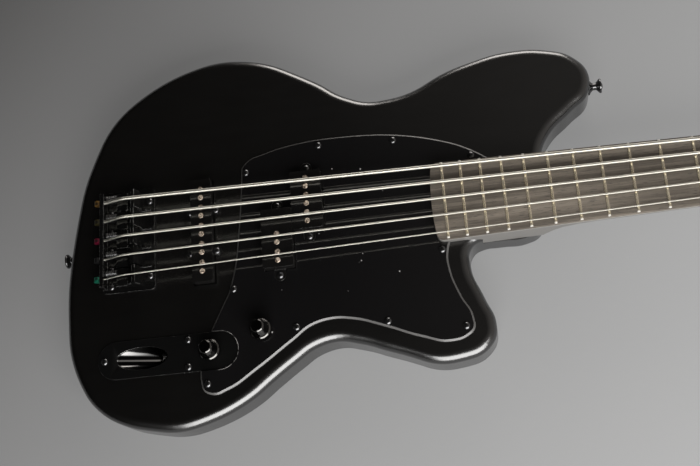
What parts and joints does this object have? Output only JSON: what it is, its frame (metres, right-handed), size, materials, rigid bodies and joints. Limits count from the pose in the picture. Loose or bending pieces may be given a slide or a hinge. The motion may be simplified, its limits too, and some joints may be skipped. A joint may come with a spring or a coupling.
{
  "type": "electric bass guitar",
  "caption": "Solid-body electric bass guitar with offset horns, pickguard, split and bar pickups, adjustable bridge, stacked knobs, sloping jack dish, bolt-on fretted neck and geared tuners.",
  "frame": {"origin": "on the flat back of the body, under the line of the string saddles and on the strings' centre line", "axes": "+X along the strings to the headstock, +Y to the bass side, +Z out of the instrument's face"},
  "size_m": [1.142, 0.3455, 0.0645],
  "materials": {
    "black_lacquer": "satin black lacquer over wood",
    "neck_wood": "satin black lacquer over maple",
    "board_wood": "open-grained dark wood, oiled",
    "fret_wire": "polished nickel silver",
    "nut_white": "off-white",
    "steel": "plain",
    "black_metal": "black plated",
    "guard_black": "gloss black",
    "cover_black": "satin black",
    "pole_steel": "turned",
    "copper_coil": "enamelled wire",
    "board_green": "circuit board",
    "battery_case": "plain case",
    "wound_steel": "round wound",
    "ball_brass": "plain and coloured",
    "felt": "pressed felt"
  },
  "bodies": {
    "instrument": {"body": "black_lacquer", "neck": "neck_wood", "fingerboard": "board_wood", "frets": "fret_wire", "nut": "nut_white", "truss_rod": "steel", "neck_ferrules": "black_metal", "neck_screws": "black_metal", "pickguard": "guard_black", "control_plate": "black_metal", "output_jack": "steel", "pots": "steel", "preamp_board": "board_green", "battery": "battery_case", "battery_box": "cover_black", "neck_pickup_covers": "cover_black", "bridge_pickup_cover": "cover_black", "pickup_poles": "pole_steel", "pickup_coils": "copper_coil", "bridge_plate": "black_metal", "ball_ends": "ball_brass", "strap_buttons": "black_metal", "strap_felts": "felt", "tuner_housings": "black_metal", "tuner_bushings": "black_metal", "strings": "wound_steel", "spring_1": "steel", "spring_2": "steel", "spring_3": "steel", "spring_4": "steel", "spring_5": "steel"},
    "saddle_1": {"saddle_1": "black_metal"},
    "saddle_2": {"saddle_2": "black_metal"},
    "saddle_3": {"saddle_3": "black_metal"},
    "saddle_4": {"saddle_4": "black_metal"},
    "saddle_5": {"saddle_5": "black_metal"},
    "intonation_screw_1": {"intonation_screw_1": "black_metal"},
    "intonation_screw_2": {"intonation_screw_2": "black_metal"},
    "intonation_screw_3": {"intonation_screw_3": "black_metal"},
    "intonation_screw_4": {"intonation_screw_4": "black_metal"},
    "intonation_screw_5": {"intonation_screw_5": "black_metal"},
    "tuner_key_1": {"tuner_key_1": "black_metal"},
    "tuner_key_2": {"tuner_key_2": "black_metal"},
    "tuner_key_3": {"tuner_key_3": "black_metal"},
    "tuner_key_4": {"tuner_key_4": "black_metal"},
    "tuner_key_5": {"tuner_key_5": "black_metal"},
    "tuner_post_1": {"tuner_post_1": "black_metal"},
    "tuner_post_2": {"tuner_post_2": "black_metal"},
    "tuner_post_3": {"tuner_post_3": "black_metal"},
    "tuner_post_4": {"tuner_post_4": "black_metal"},
    "tuner_post_5": {"tuner_post_5": "black_metal"},
    "volume_knob": {"volume_knob": "black_metal"},
    "balance_knob": {"balance_knob": "black_metal"},
    "treble_knob": {"treble_knob": "black_metal"},
    "bass_knob": {"bass_knob": "black_metal"},
    "battery_lid": {"battery_lid": "cover_black"}
  },
  "joints": [
    {"name": "intonation_1", "type": "hinge", "parent": "instrument", "child": "intonation_screw_1", "pos_m": [-0.0385, 0.041, 0.048], "axis": [1, 0, 0], "range_deg": [-1805, 1805]},
    {"name": "saddle_slide_1", "type": "slide", "parent": "instrument", "child": "saddle_1", "axis": [1, 0, 0], "range_m": [-0.004, 0.004], "deforming": ["spring_1"]},
    {"name": "intonation_2", "type": "hinge", "parent": "instrument", "child": "intonation_screw_2", "pos_m": [-0.0385, 0.02325, 0.048], "axis": [1, 0, 0], "range_deg": [-1805, 1805]},
    {"name": "saddle_slide_2", "type": "slide", "parent": "instrument", "child": "saddle_2", "axis": [1, 0, 0], "range_m": [-0.004, 0.004], "deforming": ["spring_2"]},
    {"name": "intonation_3", "type": "hinge", "parent": "instrument", "child": "intonation_screw_3", "pos_m": [-0.0385, 0.0055, 0.048], "axis": [1, 0, 0], "range_deg": [-1805, 1805]},
    {"name": "saddle_slide_3", "type": "slide", "parent": "instrument", "child": "saddle_3", "axis": [1, 0, 0], "range_m": [-0.004, 0.004], "deforming": ["spring_3"]},
    {"name": "intonation_4", "type": "hinge", "parent": "instrument", "child": "intonation_screw_4", "pos_m": [-0.0385, -0.01225, 0.048], "axis": [1, 0, 0], "range_deg": [-1805, 1805]},
    {"name": "saddle_slide_4", "type": "slide", "parent": "instrument", "child": "saddle_4", "axis": [1, 0, 0], "range_m": [-0.004, 0.004], "deforming": ["spring_4"]},
    {"name": "intonation_5", "type": "hinge", "parent": "instrument", "child": "intonation_screw_5", "pos_m": [-0.0385, -0.03, 0.048], "axis": [1, 0, 0], "range_deg": [-1805, 1805]},
    {"name": "saddle_slide_5", "type": "slide", "parent": "instrument", "child": "saddle_5", "axis": [1, 0, 0], "range_m": [-0.004, 0.004], "deforming": ["spring_5"]},
    {"name": "key_1", "type": "hinge", "parent": "instrument", "child": "tuner_key_1", "pos_m": [0.9165, 0.027, 0.02195], "axis": [0, 1, 0], "continuous": true},
    {"name": "post_1", "type": "hinge", "parent": "instrument", "child": "tuner_post_1", "pos_m": [0.925, 0.027, 0.0422], "axis": [0, 0, 1], "continuous": true},
    {"name": "key_2", "type": "hinge", "parent": "instrument", "child": "tuner_key_2", "pos_m": [0.9595, 0.027, 0.02195], "axis": [0, 1, 0], "continuous": true},
    {"name": "post_2", "type": "hinge", "parent": "instrument", "child": "tuner_post_2", "pos_m": [0.968, 0.027, 0.0422], "axis": [0, 0, 1], "continuous": true},
    {"name": "key_3", "type": "hinge", "parent": "instrument", "child": "tuner_key_3", "pos_m": [1.0025, 0.027, 0.02195], "axis": [0, 1, 0], "continuous": true},
    {"name": "post_3", "type": "hinge", "parent": "instrument", "child": "tuner_post_3", "pos_m": [1.011, 0.027, 0.0422], "axis": [0, 0, 1], "continuous": true},
    {"name": "key_4", "type": "hinge", "parent": "instrument", "child": "tuner_key_4", "pos_m": [0.9745, -0.027, 0.02195], "axis": [0, -1, 0], "continuous": true},
    {"name": "post_4", "type": "hinge", "parent": "instrument", "child": "tuner_post_4", "pos_m": [0.983, -0.027, 0.0422], "axis": [0, 0, 1], "continuous": true},
    {"name": "key_5", "type": "hinge", "parent": "instrument", "child": "tuner_key_5", "pos_m": [0.9315, -0.027, 0.02195], "axis": [0, -1, 0], "continuous": true},
    {"name": "post_5", "type": "hinge", "parent": "instrument", "child": "tuner_post_5", "pos_m": [0.94, -0.027, 0.0422], "axis": [0, 0, 1], "continuous": true},
    {"name": "volume_turn", "type": "hinge", "parent": "instrument", "child": "volume_knob", "pos_m": [0.0583, -0.109, 0.05], "axis": [0, 0, 1], "range_deg": [-140, 140]},
    {"name": "balance_turn", "type": "hinge", "parent": "instrument", "child": "balance_knob", "pos_m": [0.0583, -0.109, 0.05], "axis": [0, 0, 1], "range_deg": [-140, 140]},
    {"name": "treble_turn", "type": "hinge", "parent": "instrument", "child": "treble_knob", "pos_m": [0.1043, -0.0959, 0.05], "axis": [0, 0, 1], "range_deg": [-140, 140]},
    {"name": "bass_turn", "type": "hinge", "parent": "instrument", "child": "bass_knob", "pos_m": [0.1043, -0.0959, 0.05], "axis": [0, 0, 1], "range_deg": [-140, 140]},
    {"name": "battery_lid_hinge", "type": "hinge", "parent": "instrument", "child": "battery_lid", "pos_m": [-0.03295, -0.071, 0.0013], "axis": [0, 1, 0], "range_deg": [0, 95]}
  ],
  "couplings": [
    {"joint": "intonation_1", "follows": "saddle_slide_1", "rad_per_m": -7854},
    {"joint": "intonation_2", "follows": "saddle_slide_2", "rad_per_m": -7854},
    {"joint": "intonation_3", "follows": "saddle_slide_3", "rad_per_m": -7854},
    {"joint": "intonation_4", "follows": "saddle_slide_4", "rad_per_m": -7854},
    {"joint": "intonation_5", "follows": "saddle_slide_5", "rad_per_m": -7854},
    {"joint": "post_1", "follows": "key_1", "ratio": 0.05},
    {"joint": "post_2", "follows": "key_2", "ratio": 0.05},
    {"joint": "post_3", "follows": "key_3", "ratio": 0.05},
    {"joint": "post_4", "follows": "key_4", "ratio": -0.05},
    {"joint": "post_5", "follows": "key_5", "ratio": -0.05}
  ]
}
